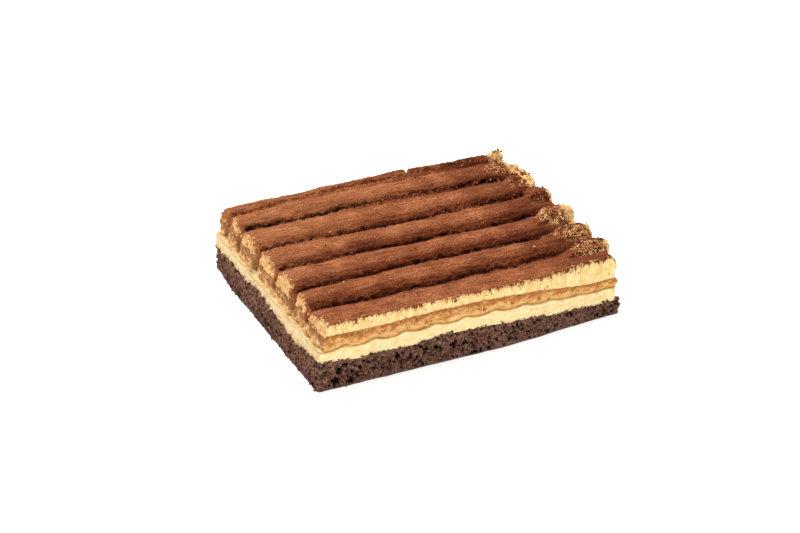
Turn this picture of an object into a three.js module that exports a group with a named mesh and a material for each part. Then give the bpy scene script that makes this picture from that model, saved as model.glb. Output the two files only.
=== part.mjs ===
// A rectangular tiramisu slab in four layers: a cocoa sponge base, cream, the coffee-soaked lower part of
// a sheet of piped ladyfinger biscuit, and the sheet's dry top, which runs in ridges under the cocoa.
// Millimetres, +Z up. The ridges run along X, the knife-cut long face looks along -Y, and the origin is
// the middle of the underside.

import * as THREE from 'three';
import { mergeVertices } from 'three/addons/utils/BufferGeometryUtils.js';

const { lerp, smoothstep } = THREE.MathUtils;

// Outline of the slab
const SLAB_LENGTH = 201;
const SLAB_WIDTH = 163;
const FRONT_RECEDE = 5.5; // how far the front cut slants back by the right end
const BACK_RECEDE = 4;
const RECEDE_START = 15; // the x where both long sides begin to slant
const EDGE_WAVE = 0.6; // unevenness of the cut sides

// Heights of the layer lines, which sink towards the right end
const BASE_TOP = { left: 16.8, right: 9.8 };
const CREAM_TOP = { left: 24.8, right: 17.9 };
const SOAK_TOP = { left: 34.4, right: 24.9 };
const SINK_START = 5;
const SINK_END = 90;
const LINE_WAVE = 0.5;
const LAYER_GAP = 0.3; // clearance between touching layers

// How far each layer stands back from the base
const CREAM_INSET = { left: 1.5, right: 0.8, side: 0.4 };
const SHEET_INSET = { left: 4.5, side: 0.6 };

// Ridges of the piped sheet, from the front to the back
const GROOVES = [-54, -30.3, -4.6, 22.2, 50.2, 74.5];
const RIDGE_CREST = 42.4;
const RIDGE_DEPTH = 6;
const RIDGE_FULLNESS = 2.6; // exponent of the dome: 2 is an ellipse, more is flatter on top
const BACK_RIDGE_WIDTH = 26; // width that the back ridge had before it was cut
const GROOVE_WANDER = 1.1;
const GROOVE_SWING = 2.5; // how far the ridges turn to the front at their right ends
const SWING_START = 55;

// Blunt piped ends of the ridges on the right
const END_NOTCH = 3.5; // how far a groove stands back from the ridge tips
const END_RADIUS = 7;
const END_LUMPS = [2.4, 2.0, 2.6, 2.6, 0.2, 0.2, 1.6]; // rise of each ridge's last stretch, front to back
const LUMP_BACK = 13; // distance of the lump's top from the tip
const LUMP_SPREAD = 9;

// Mesh steps
const SHEET_STEPS_LONG = 22;
const RIDGE_STEPS = { full: 8, sliver: 3 };
const SOAK_STEPS_LONG = 14;
const SOAK_RIDGE_STEPS = { full: 4, sliver: 2 };
const LAYER_STEPS = [18, 14, 1];
const END_CROWDING = 1.7; // how strongly the sheet's steps crowd towards the right end

const LEFT = -SLAB_LENGTH / 2;
const RIGHT = SLAB_LENGTH / 2;
const FRONT = -SLAB_WIDTH / 2;
const BACK = SLAB_WIDTH / 2;

// A slow wave between -1 and 1 over the slab, another one for each phase
function wave(x, y, phase) {
  return Math.sin(x / 19 + 2.1 * phase) * Math.cos(y / 23 - 1.3 * phase);
}

// A wave that only goes inwards, for the cut sides
function inward(along, phase) {
  return EDGE_WAVE * (0.5 + 0.5 * Math.sin(along / 14 + phase));
}

function frontFace(x, inset) {
  return FRONT + FRONT_RECEDE * smoothstep(x, RECEDE_START, RIGHT) + inward(x, 0.4) + inset;
}

function backFace(x, inset) {
  return BACK - BACK_RECEDE * smoothstep(x, RECEDE_START, RIGHT) - inward(x, 2.2) - inset;
}

// Height of a layer line over the slab
function layerLine(line, phase) {
  return (x, y) => lerp(line.left, line.right, smoothstep(x, SINK_START, SINK_END))
    + LINE_WAVE * wave(x, y, phase);
}

const baseTop = layerLine(BASE_TOP, 0.3);
const creamTop = layerLine(CREAM_TOP, 1.1);
const soakTop = layerLine(SOAK_TOP, 1.9);

// The y of a groove at x: it wanders a little and swings to the front at the right end
function grooveLine(index, x) {
  const wander = GROOVE_WANDER * Math.sin(x / 31 + 1.7 * index);
  return GROOVES[index] + wander - GROOVE_SWING * smoothstep(x, SWING_START, RIGHT);
}

// The two sides of a ridge at x. The front ridge was cut along its crest and the back one near its groove,
// so their outer sides lie outside the slab.
function ridgeSides(ridge, x) {
  const front = ridge > 0
    ? grooveLine(ridge - 1, x)
    : 2 * frontFace(x, SHEET_INSET.side) - grooveLine(0, x);
  const back = ridge < GROOVES.length
    ? grooveLine(ridge, x)
    : grooveLine(GROOVES.length - 1, x) + BACK_RIDGE_WIDTH;
  return { front, back };
}

// How full a ridge is at (x, y): 1 along its crest and 0 in the grooves
function ridgeDome(ridge, x, y) {
  const { front, back } = ridgeSides(ridge, x);
  const across = Math.abs((2 * y - front - back) / (back - front));
  return Math.sqrt(1 - Math.min(1, across) ** RIDGE_FULLNESS);
}

// Top of the ridged sheet, with the raised last stretch and the rounded tip of each ridge
function ridgeTop(ridge, x, y, tip) {
  const dome = ridgeDome(ridge, x, y);
  const lump = END_LUMPS[ridge] * dome * Math.exp(-(((x - tip + LUMP_BACK) / LUMP_SPREAD) ** 2));
  const past = Math.max(0, x - tip + END_RADIUS) / END_RADIUS;
  const round = END_RADIUS * (1 - Math.sqrt(1 - Math.min(1, past) ** 2));
  return RIDGE_CREST - RIDGE_DEPTH * (1 - dome) + lump - round + 0.5 * LINE_WAVE * wave(x, y, 2.7);
}

// Bends a box of unit steps: place() gets a point's share of the box's length, width and height
function bentBox([stepsLong, stepsWide, stepsHigh], place) {
  const box = new THREE.BoxGeometry(stepsLong, stepsWide, stepsHigh, stepsLong, stepsWide, stepsHigh);
  box.deleteAttribute('normal');
  box.deleteAttribute('uv');
  const geometry = mergeVertices(box);
  const position = geometry.attributes.position;
  const corner = new THREE.Vector3();
  for (let n = 0; n < position.count; n += 1) {
    corner.fromBufferAttribute(position, n);
    const point = place(
      corner.x / stepsLong + 0.5,
      corner.y / stepsWide + 0.5,
      corner.z / stepsHigh + 0.5,
    );
    position.setXYZ(n, point.x, point.y, point.z);
  }
  geometry.computeVertexNormals();
  return geometry;
}

// A flat layer between two height functions
function layerGeometry(bottom, top, inset) {
  return bentBox(LAYER_STEPS, (long, wide, high) => {
    const skew = inward(SLAB_WIDTH * wide, 1.5);
    const x = lerp(LEFT + inset.left + skew, RIGHT - inset.right - skew, long);
    const y = lerp(frontFace(x, inset.side), backFace(x, inset.side), wide);
    return new THREE.Vector3(x, y, lerp(bottom(x, y), top(x, y), high));
  });
}

// Which ridge a step across the sheet lies on, and how far across that ridge
function ridgeShare(step, steps) {
  const ridge = Math.min(GROOVES.length, Math.floor(step / steps.full + 1e-6));
  const count = ridge < GROOVES.length ? steps.full : steps.sliver;
  return { ridge, share: (step - ridge * steps.full) / count };
}

// A layer of the piped sheet, whose steps follow the grooves and whose right end is scalloped
function sheetGeometry(stepsLong, stepsHigh, steps, bottom, top) {
  const stepsWide = GROOVES.length * steps.full + steps.sliver;
  return bentBox([stepsLong, stepsWide, stepsHigh], (long, wide, high) => {
    const { ridge, share } = ridgeShare(Math.round(wide * stepsWide), steps);
    const place = (x) => {
      const front = ridge > 0 ? grooveLine(ridge - 1, x) : frontFace(x, SHEET_INSET.side);
      const back = ridge < GROOVES.length ? grooveLine(ridge, x) : backFace(x, SHEET_INSET.side);
      return lerp(front, back, share);
    };
    const tip = RIGHT - END_NOTCH * (1 - ridgeDome(ridge, RIGHT, place(RIGHT)));
    const start = LEFT + SHEET_INSET.left - inward(SLAB_WIDTH * wide, 0.9);
    const x = lerp(start, tip, 1 - (1 - long) ** END_CROWDING);
    const y = place(x);
    return new THREE.Vector3(x, y, lerp(bottom(x, y), top(ridge, x, y, tip), high));
  });
}

function piece(name, geometry, color, roughness) {
  const material = new THREE.MeshStandardMaterial({ color, roughness, metalness: 0 });
  const mesh = new THREE.Mesh(geometry, material);
  mesh.name = name;
  return mesh;
}

// Dark cocoa sponge with a flat underside
function baseSponge() {
  const geometry = layerGeometry(() => 0, baseTop, { left: 0, right: 0, side: 0 });
  return piece('base_sponge', geometry, 0x4b3530, 0.9);
}

// Mascarpone cream between the sponge and the biscuit sheet
function creamLayer() {
  const bottom = (x, y) => baseTop(x, y) + LAYER_GAP;
  return piece('cream_layer', layerGeometry(bottom, creamTop, CREAM_INSET), 0xf7dfa8, 0.55);
}

// Lower part of the biscuit sheet, brown with coffee
function soakedBiscuit() {
  const bottom = (x, y) => creamTop(x, y) + LAYER_GAP;
  const top = (ridge, x, y) => soakTop(x, y);
  const geometry = sheetGeometry(SOAK_STEPS_LONG, 1, SOAK_RIDGE_STEPS, bottom, top);
  return piece('soaked_biscuit', geometry, 0xb98a4e, 0.75);
}

// Dry upper part of the sheet, in ridges that carry the cocoa
function ladyfingerRidges() {
  const bottom = (x, y) => soakTop(x, y) + LAYER_GAP;
  const geometry = sheetGeometry(SHEET_STEPS_LONG, 2, RIDGE_STEPS, bottom, ridgeTop);
  return piece('ladyfinger_ridges', geometry, 0x97593a, 0.9);
}

const cake = new THREE.Group();
cake.add(baseSponge(), creamLayer(), soakedBiscuit(), ladyfingerRidges());

export default cake;
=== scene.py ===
"""Builds the look of a tiramisu slab around its packed layers.

From the bottom up: a porous cocoa sponge, a band of cream, and a sheet of piped ladyfinger biscuit that is
soaked with coffee below and dusted with cocoa on its ridges. Loose crumbs lie where the biscuit is torn.
Lengths are written in millimetres and turned to metres by MM.
"""

import logging
import math
from contextlib import contextmanager
from dataclasses import dataclass, field
from enum import Enum
from functools import partial
from typing import Callable, Iterator, Sequence

import bpy
import numpy as np
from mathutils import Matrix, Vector


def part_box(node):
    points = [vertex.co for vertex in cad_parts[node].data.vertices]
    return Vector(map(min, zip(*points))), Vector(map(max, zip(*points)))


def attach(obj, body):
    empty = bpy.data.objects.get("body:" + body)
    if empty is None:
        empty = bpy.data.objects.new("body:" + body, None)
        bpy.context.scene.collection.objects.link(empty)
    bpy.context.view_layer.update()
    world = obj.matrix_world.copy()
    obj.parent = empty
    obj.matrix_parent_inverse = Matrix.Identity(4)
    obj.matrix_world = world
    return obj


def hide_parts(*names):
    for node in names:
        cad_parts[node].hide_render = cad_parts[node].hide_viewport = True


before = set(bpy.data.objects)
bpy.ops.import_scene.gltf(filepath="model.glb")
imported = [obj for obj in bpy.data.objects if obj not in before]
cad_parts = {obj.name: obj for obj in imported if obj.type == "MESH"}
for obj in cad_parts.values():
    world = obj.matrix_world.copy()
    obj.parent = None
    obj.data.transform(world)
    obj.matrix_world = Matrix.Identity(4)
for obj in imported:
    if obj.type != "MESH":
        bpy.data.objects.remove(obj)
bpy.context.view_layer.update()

MM = 0.001
BODY = "root"
log = logging.getLogger("tiramisu")

Array = np.ndarray
Pair = tuple[float, float]
Triple = tuple[float, float, float]
Piece = bpy.types.Object
Socket = bpy.types.NodeSocket
Draw = Callable[..., Socket]
Drawn = tuple[Socket, Socket]


# Curves over places


def smooth(low: float, high: float, value: Array) -> Array:
    """Rises smoothly from 0 at low to 1 at high.

    Args:
        low: where the rise starts.
        high: where it ends.
        value: the numbers to map.

    Returns:
        The mapped numbers, between 0 and 1.
    """
    share = np.clip((np.asarray(value, dtype=float) - low) / (high - low), 0.0, 1.0)
    return share * share * (3.0 - 2.0 * share)


def bell(away: Array, width: float) -> Array:
    """Falls from 1 at zero towards 0 on both sides, over about the width."""
    return np.exp(-((away / width) ** 2))


# Work on pieces


def deselect() -> None:
    """Leaves edit mode and deselects every object."""
    if bpy.context.object and bpy.context.object.mode != "OBJECT":
        bpy.ops.object.mode_set(mode="OBJECT")
    bpy.ops.object.select_all(action="DESELECT")


def activate(piece: Piece) -> None:
    """Makes a piece the only selected and the active object.

    Args:
        piece: the object.
    """
    deselect()
    piece.select_set(True)
    bpy.context.view_layer.objects.active = piece


def add(operator: Callable, **settings: object) -> Piece:
    """Adds an object with one of the add operators and gives it back.

    Args:
        operator: the operator.
        settings: what it is called with.

    Returns:
        The new object.
    """
    deselect()
    operator(**settings)
    return bpy.context.object


@contextmanager
def editing(piece: Piece, kind: str = "VERT", chosen: Array | None = None) -> Iterator[None]:
    """Opens a piece in edit mode and goes back to object mode at the end.

    Args:
        piece: the object to edit.
        kind: the select mode, VERT, EDGE or FACE.
        chosen: which edges or faces are selected; everything is without it.

    Returns:
        The context in which edit operators run.
    """
    activate(piece)
    mesh = piece.data
    if chosen is not None:
        for items in (mesh.vertices, mesh.edges, mesh.polygons):
            items.foreach_set("select", np.zeros(len(items), dtype=bool))
        items = mesh.edges if kind == "EDGE" else mesh.polygons
        items.foreach_set("select", chosen)
    bpy.ops.object.mode_set(mode="EDIT")
    bpy.ops.mesh.select_mode(type=kind)
    if chosen is None:
        bpy.ops.mesh.select_all(action="SELECT")
    yield
    bpy.ops.object.mode_set(mode="OBJECT")


def extrude(step: Sequence[float] = (0.0, 0.0, 0.0)) -> None:
    """Extrudes what is selected in edit mode and moves it by a step in metres."""
    bpy.ops.mesh.extrude_region_move(TRANSFORM_OT_translate={"value": step})


def apply(piece: Piece, kind: str, **settings: object) -> None:
    """Gives a piece a modifier with settings and applies it.

    Args:
        piece: the object to work on.
        kind: the modifier's type.
        settings: values for its properties.
    """
    modifier = piece.modifiers.new(kind.lower(), kind)
    for name, value in settings.items():
        setattr(modifier, name, value)
    activate(piece)
    bpy.ops.object.modifier_apply(modifier=modifier.name)


def vectors(items: bpy.types.bpy_prop_collection, name: str) -> Array:
    """Reads one vector of each of a mesh's items as rows of three numbers.

    Args:
        items: vertices, faces or values of an attribute.
        name: the vector's name.

    Returns:
        The rows.
    """
    flat = np.empty(len(items) * 3)
    items.foreach_get(name, flat)
    return flat.reshape(-1, 3)


def places(piece: Piece) -> Array:
    """Gives a piece's vertices as rows of x, y and z in mm."""
    return vectors(piece.data.vertices, "co") / MM


def normals_of(piece: Piece) -> Array:
    """Gives a piece's vertex normals as rows."""
    return vectors(piece.data.vertex_normals, "vector")


def face_middles(piece: Piece) -> Array:
    """Gives the middles of a piece's faces as three arrays of x, y and z in mm."""
    return vectors(piece.data.polygons, "center").T / MM


def edge_ends(piece: Piece) -> Array:
    """Gives the numbers of the two vertices of each edge as rows."""
    return np.array([edge.vertices[:] for edge in piece.data.edges])


def move(piece: Piece, points: Array) -> None:
    """Puts a piece's vertices at rows of x, y and z in mm."""
    piece.data.vertices.foreach_set("co", (points * MM).ravel())
    piece.data.update()


def sunk(before: Array, after: Array, normals: Array) -> Array:
    """Gives how far each vertex went inwards, against its normal."""
    return ((before - after) * normals).sum(axis=1)


def store(piece: Piece, **values: Array) -> None:
    """Keeps one number for each vertex under each given name, as attributes that a finish reads.

    Args:
        piece: the piece that gets the attributes.
        values: numbers by attribute name.
    """
    for name, numbers in values.items():
        layer = piece.data.attributes.new(name, "FLOAT", "POINT")
        layer.data.foreach_set("value", numbers.astype(np.float32))


def weigh(piece: Piece, name: str, weights: Array) -> str:
    """Makes a vertex group from weights that are rounded to a few levels.

    Args:
        piece: the object that gets the group.
        name: the group's name.
        weights: one weight for each vertex, 0 to 1.

    Returns:
        The group's name.
    """
    levels = 16
    group = piece.vertex_groups.new(name=name)
    steps = np.rint(np.clip(weights, 0.0, 1.0) * levels).astype(int)
    for step in range(1, levels + 1):
        chosen = np.flatnonzero(steps == step).tolist()
        if chosen:
            group.add(chosen, step / levels, "REPLACE")
    return name


@dataclass(frozen=True)
class Relief:
    """One layer of surface relief, as a Displace modifier with a cloud texture makes it.

    Attributes:
        grain: size of the pattern's features in mm.
        height: full range of the push in mm; a negative one digs.
        detail: how many finer copies are added to the pattern.
        stretch: how much longer the features are along x, y and z.
        window: pattern values at which the push starts and is full.
        middle: pattern value that leaves the surface where it is.
        place: offset in mm that keeps two layers from falling together.
    """

    grain: float
    height: float
    detail: int = 2
    stretch: Triple = (1.0, 1.0, 1.0)
    window: Pair = (0.25, 0.75)
    middle: float = 0.5
    place: float = 0.0

    def press(self, piece: Piece, group: str = "") -> None:
        """Pushes the relief into a piece along its normals.

        Args:
            piece: the object to work on.
            group: vertex group that limits the push; all of the piece if empty.
        """
        texture = bpy.data.textures.new("relief", "CLOUDS")
        texture.noise_scale = self.grain * MM
        texture.noise_depth = self.detail
        texture.noise_basis = "IMPROVED_PERLIN"
        texture.use_color_ramp = True
        for stop, at, tone in zip(texture.color_ramp.elements, self.window, (0.0, 1.0)):
            stop.position = at
            stop.color = (tone, tone, tone, 1.0)
        space = add(bpy.ops.object.empty_add, location=(self.place * MM, -self.place * MM, 0.0))
        space.scale = self.stretch
        bpy.context.view_layer.update()
        apply(
            piece,
            "DISPLACE",
            texture=texture,
            texture_coords="OBJECT",
            texture_coords_object=space,
            strength=self.height * MM,
            mid_level=self.middle,
            vertex_group=group,
        )
        bpy.data.objects.remove(space)
        bpy.data.textures.remove(texture)


@dataclass(frozen=True)
class Surface:
    """Places on a finished surface where crumbs can lie: points in mm, normals and weights of its parts."""

    points: Array
    normals: Array
    weights: dict[str, Array]


# Nodes of the finishes

SOFT = {"interpolation_type": "SMOOTHSTEP"}
SCALE_ADD = {"operation": "MULTIPLY_ADD"}
TIMES = {"operation": "MULTIPLY"}
LARGER = {"operation": "MAXIMUM"}
NUMBERS = {"data_type": "FLOAT"}


class Lay(Enum):
    """How a coat of colour lies on the one below it."""

    OVER = "MIX"
    TINT = "MULTIPLY"


def srgb(code: str) -> tuple[float, float, float, float]:
    """Turns a hex sRGB colour into linear RGBA.

    Args:
        code: a colour such as "#a9673f".

    Returns:
        The linear colour with an alpha of one.
    """
    parts = [int(code[i : i + 2], 16) / 255 for i in (1, 3, 5)]
    linear = [c / 12.92 if c <= 0.04045 else ((c + 0.055) / 1.055) ** 2.4 for c in parts]
    return (*linear, 1.0)


def plug(tree: bpy.types.NodeTree, node: bpy.types.Node, inputs: dict | Sequence) -> None:
    """Fills a node's inputs.

    Args:
        tree: the node tree.
        node: the node.
        inputs: sockets to link from, fixed values or hex colours, by input name or number or in order.
    """
    for name, value in inputs.items() if isinstance(inputs, dict) else enumerate(inputs):
        if isinstance(value, Socket):
            tree.links.new(value, node.inputs[name])
        else:
            node.inputs[name].default_value = srgb(value) if isinstance(value, str) else value


def add_node(
    tree: bpy.types.NodeTree,
    kind: str,
    settings: dict | None = None,
    inputs: dict | Sequence = (),
    out: int | str = 0,
) -> Socket:
    """Adds a shader node with its settings and links.

    Args:
        tree: the node tree.
        kind: the node's type name after "ShaderNode".
        settings: values for the node's own properties; "ramp" takes pairs of place and hex colour.
        inputs: what goes into the node, as plug() takes it.
        out: name or number of the output that is wanted.

    Returns:
        The wanted output.
    """
    node = tree.nodes.new("ShaderNode" + kind)
    for name, value in (settings or {}).items():
        if name == "ramp":
            stops = node.color_ramp.elements
            while len(stops) < len(value):
                stops.new(0.5)
            for stop, (place, colour) in zip(stops, value):
                stop.position = place
                stop.color = srgb(colour)
        else:
            setattr(node, name, value)
    plug(tree, node, inputs)
    return node.outputs[out]


def sized(place: Socket, size: float, **more: float) -> dict[str, Socket | float]:
    """Gives the inputs of a texture whose features are size mm across."""
    return {"Vector": place, "Scale": 1.0 / (size * MM), **more}


def stored(node: Draw, *names: str) -> list[Socket]:
    """Reads the numbers that were stored under these names."""
    return [node("Attribute", {"attribute_name": name}, out="Fac") for name in names]


def specks(node: Draw, place: Socket, size: float, rare: Pair, near: Triple) -> Socket:
    """Makes the mask of small round specks.

    Args:
        node: adds a node to the material.
        place: the piece's object coordinates.
        size: distance between places for a speck, in mm.
        rare: cell values, 0 to 1, at which a place starts to have a speck and surely has one.
        near: distances at which a speck starts and is full, as shares of size, and its strength.

    Returns:
        The mask.
    """
    far, close, strength = near
    shape = node("MapRange", None, (node("TexVoronoi", None, sized(place, size)), far, close, 0.0, strength))
    kinds = node("TexVoronoi", None, sized(place, size), "Color")
    return node("Math", TIMES, (shape, node("MapRange", None, (kinds, *rare))))


def paint(node: Draw, ground: Socket | str, *coats: tuple) -> Socket:
    """Lays coats of colour one over another.

    Args:
        node: adds a node to the material.
        ground: the lowest colour.
        coats: how each coat lies, its mask and its colour. A mask is a socket, or a value with the numbers
            at which it starts and is full, and the least and the greatest strength.

    Returns:
        The colour with all its coats.
    """
    for lay, mask, colour in coats:
        if isinstance(mask, tuple):
            mask = node("MapRange", SOFT, mask)
        blend = {"data_type": "RGBA", "blend_type": lay.value}
        ground = node("Mix", blend, {0: mask, 6: ground, 7: colour}, 2)
    return ground


# Finishes


@dataclass(frozen=True)
class Finish:
    """A procedural material. Subclasses draw its colour and its grain.

    Attributes:
        name: the material's name.
        roughness: how matt it is.
        specular: strength of its gloss.
        depth: depth of its grain in mm.
        glow: share of the light that spreads under its surface.
    """

    name: str
    roughness: float
    specular: float
    depth: float
    glow: float = 0.0

    def draw(self, node: Draw, place: Socket) -> Drawn:
        """Draws the finish with nodes.

        Args:
            node: adds a node to the material.
            place: the piece's object coordinates.

        Returns:
            The colour and the height of the grain.
        """
        raise NotImplementedError

    def dress(self, *pieces: Piece) -> None:
        """Makes the material and gives it to pieces as their only one.

        Args:
            pieces: the finished pieces.
        """
        material = bpy.data.materials.new(self.name)
        material.use_nodes = True
        tree = material.node_tree
        node = partial(add_node, tree)
        colour, height = self.draw(node, node("TexCoord", out="Object"))
        inputs = {
            "Base Color": colour,
            "Roughness": self.roughness,
            "Specular IOR Level": self.specular,
            "Subsurface Weight": self.glow,
            "Subsurface Radius": (1.0, 0.7, 0.35),
            "Subsurface Scale": 2.0 * MM,
            "Normal": node("Bump", None, {"Strength": 0.85, "Distance": self.depth * MM, "Height": height}),
        }
        plug(tree, tree.nodes["Principled BSDF"], inputs)
        for piece in pieces:
            piece.data.materials.clear()
            piece.data.materials.append(material)


@dataclass(frozen=True)
class CocoaSponge(Finish):
    """Moist cocoa sponge: dark brown crumb in lighter and darker patches, holes darkened nearly to black as
    painted shade, painted shade on the left face, greyer at the bottom.
    """

    name: str = "cocoa_sponge_crumb"
    roughness: float = 0.85
    specular: float = 0.25
    depth: float = 0.4
    crumb_size: float = 1.5
    grain_size: float = 0.5
    blotch_size: float = 4.5
    patch_size: float = 9.0

    def draw(self, node: Draw, place: Socket) -> Drawn:
        """Mixes crumb tones, reddens and dims patches, greys the bottom, and paints shade on the left face
        and into the holes.

        Args:
            node: adds a node to the material.
            place: the piece's object coordinates.

        Returns:
            The colour and the height of the grain.
        """
        pit, height, left = stored(node, "pit", "height", "left")
        along = node("SeparateXYZ", None, (place,))
        tone = node("TexNoise", None, sized(place, self.crumb_size, Detail=5.0, Roughness=0.7))
        patch = node("TexNoise", None, sized(place, self.patch_size, Detail=3.0))
        blotch = node("TexNoise", None, sized(place, self.blotch_size, Detail=4.0))
        tones = ((0.34, "#26140d"), (0.44, "#5b3828"), (0.54, "#825644"), (0.66, "#b58b74"))
        colour = paint(
            node,
            node("ValToRGB", {"ramp": tones}, (tone,)),
            (Lay.OVER, (patch, 0.5, 0.68, 0.0, 0.45), "#5f3022"),
            (Lay.TINT, (blotch, 0.52, 0.36, 0.0, 0.8), "#857a76"),
            (Lay.OVER, (height, 7.0, 15.0, 0.0, 0.22), "#a98068"),
            (Lay.OVER, (along, 0.0, 50 * MM, 0.0, 0.14), "#a98068"),
            # greyer and more even in the lowest few mm
            (Lay.OVER, (height, 4.0, 1.0, 0.0, 0.65), "#6d5448"),
            # painted shade: the crumb is darker and greyer on the left face
            (Lay.TINT, left, "#ece6e0"),
            # painted shade: the holes are darkened nearly to black
            (Lay.OVER, (pit, 0.12, 0.6), "#160c09"),
        )
        return colour, node("TexNoise", None, sized(place, self.grain_size, Detail=3.0))


@dataclass(frozen=True)
class MascarponeCream(Finish):
    """Whipped mascarpone cream: dense, pale yellow, softly satin, coffee-stained under the biscuit."""

    name: str = "mascarpone_cream"
    roughness: float = 0.6
    specular: float = 0.3
    depth: float = 0.25
    glow: float = 0.15
    smear_size: float = 2.4
    fine_size: float = 0.8
    fleck_size: float = 2.4

    def draw(self, node: Draw, place: Socket) -> Drawn:
        """Mixes pale tones along the knife's way, stains the rim and the ledge by the biscuit, and paints
        shade on the left face and in the bubbles.

        Args:
            node: adds a node to the material.
            place: the piece's object coordinates.

        Returns:
            The colour and the height of the grain.
        """
        left, under, ledge, pit = stored(node, "left", "under", "ledge", "pit")
        along = node("SeparateXYZ", None, (place,))
        flat = node("Mapping", None, {"Vector": place, "Scale": (0.5, 0.5, 1.0)})
        smear = node("TexNoise", None, sized(flat, self.smear_size, Detail=6.0, Roughness=0.7))
        fine = node("TexNoise", None, sized(place, self.fine_size, Detail=3.0))
        tones = ((0.32, "#e9bf7c"), (0.45, "#f6d696"), (0.6, "#fce6b2"))
        patches = ((0.36, "#a07a48"), (0.45, "#cbaa72"), (0.57, "#eed39c"))
        damp = node("ValToRGB", {"ramp": patches}, (smear,))
        stain = paint(node, "#cf8a3c", (Lay.OVER, left, "#96733f"), (Lay.OVER, ledge, damp))
        drawn = node("Math", SCALE_ADD, (left, -0.35, under))
        wobble = node("Math", SCALE_ADD, (fine, -0.8, drawn))
        strong = node("MapRange", SOFT, (along, 60 * MM, 10 * MM, 0.8))
        fleck = specks(node, place, self.fleck_size, (0.66, 0.72), (0.17, 0.08, 0.7))
        hole = node("MapRange", SOFT, (pit, 0.35, 0.9, 0.0, 0.7))
        colour = paint(
            node,
            node("ValToRGB", {"ramp": tones}, (smear,)),
            # painted shade: the cream is darker and greyer on the left face
            (Lay.TINT, left, "#dbd7d8"),
            (Lay.OVER, (wobble, 0.55, 0.0, 0.0, strong), stain),
            # brown specks, and painted shade in the bubble holes
            (Lay.OVER, node("Math", LARGER, (fleck, hole)), "#b98548"),
        )
        return colour, fine


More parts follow.
